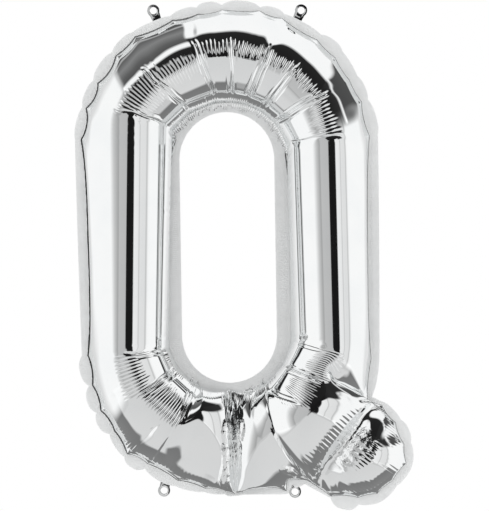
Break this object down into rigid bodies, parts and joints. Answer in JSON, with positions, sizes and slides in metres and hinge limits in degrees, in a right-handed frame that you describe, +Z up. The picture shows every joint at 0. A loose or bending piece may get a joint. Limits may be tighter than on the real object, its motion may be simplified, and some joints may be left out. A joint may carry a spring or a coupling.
{
  "type": "letter foil balloon",
  "caption": "Inflated capital letter of mirror-like film, welded round its rim and its counter, with eyelet tabs to hang it by.",
  "frame": {"origin": "midway between the eyelets of the two top hanging tabs, in the plane of the weld", "axes": "+Z up the letter, +X to the letter's right as it is read, front of the letter towards -Y"},
  "size_m": [0.2443, 0.059, 0.3667],
  "materials": {
    "film": "polished silver film",
    "weld": "flat silver film with fine weld marks",
    "valve": "clear film over silver"
  },
  "bodies": {
    "root": {"front_sheet": "film", "back_sheet": "film", "outer_seam": "weld", "counter_seam": "weld", "hanging_tab_top_left": "weld", "hanging_tab_top_right": "weld", "hanging_tab_bottom_left": "weld", "hanging_tab_bottom_right": "weld", "inflation_valve": "valve"}
  },
  "joints": []
}
